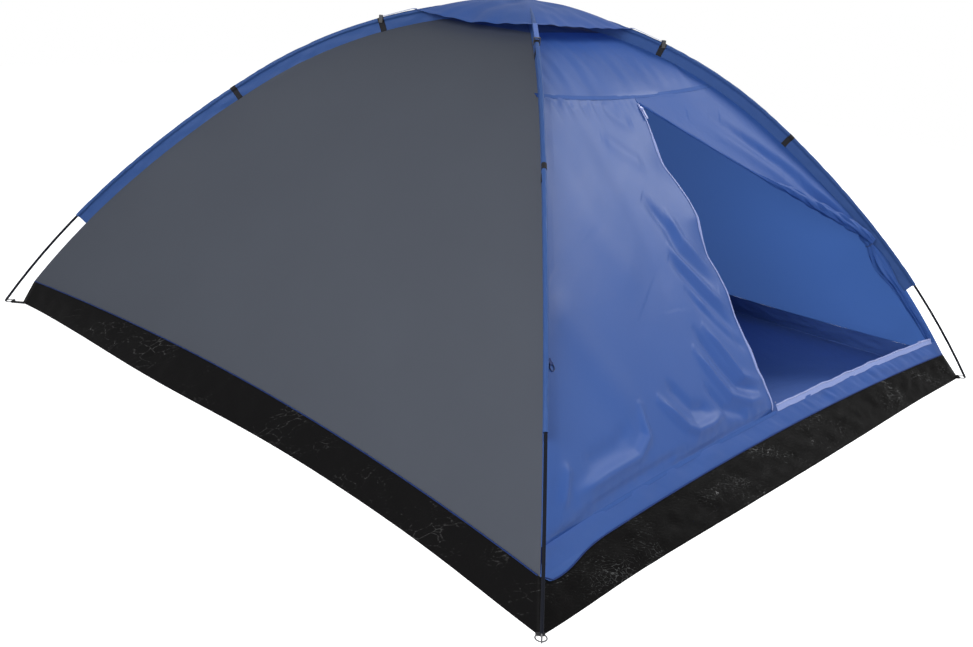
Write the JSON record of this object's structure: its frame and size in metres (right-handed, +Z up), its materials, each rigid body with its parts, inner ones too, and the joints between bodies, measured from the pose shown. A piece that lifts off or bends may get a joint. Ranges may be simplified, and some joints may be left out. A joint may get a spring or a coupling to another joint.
{
  "type": "dome tent",
  "caption": "Single-skin dome tent on two crossed hollow poles, with a tub floor, sleeved seams, a zipped door tied open, and a small rain cap.",
  "frame": {"origin": "centre of the base, on the ground", "axes": "+Z up, -Y out of the door wall, -X out of the grey wall"},
  "size_m": [2.4826, 2.5876, 1.2092],
  "materials": {
    "grey_cloth": "matte",
    "blue_cloth": "matte",
    "tub_cloth": "satin",
    "navy_piping": "matte",
    "net": "matte",
    "sleeve_cloth": "matte",
    "black_webbing": "matte",
    "grey_webbing": "matte",
    "ferrule_steel": "satin",
    "elastic": "matte",
    "pole_fibreglass": "satin",
    "ring_steel": "satin",
    "fly_cloth": "matte",
    "clip_plastic": "satin",
    "zip_tape": "matte",
    "zip_metal": "satin",
    "pull_plastic": "satin",
    "loop_cord": "matte"
  },
  "bodies": {
    "tent": {"back_wall": "blue_cloth", "corner_pins": "ring_steel", "corner_rings": "ring_steel", "corner_straps": "grey_webbing", "crown_patch": "blue_cloth", "door_flap": "blue_cloth", "door_tie": "loop_cord", "front_header": "blue_cloth", "front_sill": "blue_cloth", "front_wall": "blue_cloth", "groundsheet": "tub_cloth", "guy_loops": "loop_cord", "left_wall": "grey_cloth", "pole_a_crown_rod": "pole_fibreglass", "pole_a_ferrules": "ferrule_steel", "pole_a_flank_rods": "pole_fibreglass", "pole_a_foot_rods": "pole_fibreglass", "pole_a_shock_cord": "elastic", "pole_a_shoulder_rods": "pole_fibreglass", "pole_b_crown_rod": "pole_fibreglass", "pole_b_ferrules": "ferrule_steel", "pole_b_flank_rods": "pole_fibreglass", "pole_b_foot_rods": "pole_fibreglass", "pole_b_shock_cord": "elastic", "pole_b_shoulder_rods": "pole_fibreglass", "pole_loops_lower": "black_webbing", "pole_loops_upper": "black_webbing", "right_wall": "blue_cloth", "roof_vent_mesh": "net", "side_zip_tape": "zip_tape", "sill_zip_tape": "zip_tape", "sleeve_back_left_lower": "sleeve_cloth", "sleeve_back_left_middle": "sleeve_cloth", "sleeve_back_left_upper": "sleeve_cloth", "sleeve_back_right_lower": "sleeve_cloth", "sleeve_back_right_middle": "sleeve_cloth", "sleeve_back_right_upper": "sleeve_cloth", "sleeve_front_left_lower": "sleeve_cloth", "sleeve_front_left_middle": "sleeve_cloth", "sleeve_front_left_upper": "sleeve_cloth", "sleeve_front_right_lower": "sleeve_cloth", "sleeve_front_right_middle": "sleeve_cloth", "sleeve_front_right_upper": "sleeve_cloth", "tub_piping": "navy_piping", "zip_end_stops": "zip_metal"},
    "side_slider": {"side_zip_slider": "zip_metal"},
    "side_pull": {"side_zip_pull": "pull_plastic"},
    "sill_slider": {"sill_zip_slider": "zip_metal"},
    "sill_pull": {"sill_zip_pull": "pull_plastic"},
    "fly": {"flysheet": "fly_cloth", "fly_straps": "fly_cloth", "fly_clips": "clip_plastic"}
  },
  "joints": [
    {"name": "side_zip_slide", "type": "hinge", "parent": "tent", "child": "side_slider", "pos_m": [0, 3.31508, -2.67808], "axis": [1, 0, 0], "range_deg": [0, 10.62]},
    {"name": "side_pull_swing", "type": "hinge", "parent": "side_slider", "child": "side_pull", "pos_m": [0.0185, -0.50357, 0.93341], "axis": [-1, 0, 0], "range_deg": [0, 150]},
    {"name": "sill_zip_slide", "type": "hinge", "parent": "tent", "child": "sill_slider", "pos_m": [0, -11.20298, 0.138], "axis": [0, 0, 1], "range_deg": [0, 5.46]},
    {"name": "sill_pull_swing", "type": "hinge", "parent": "sill_slider", "child": "sill_pull", "pos_m": [1.0193, -1.16284, 0.15204], "axis": [-0.0542, -0.5338, -0.8439], "range_deg": [0, 150]},
    {"name": "fly_lift", "type": "slide", "parent": "tent", "child": "fly", "axis": [0, 0, 1], "range_m": [0, 0.25]}
  ]
}
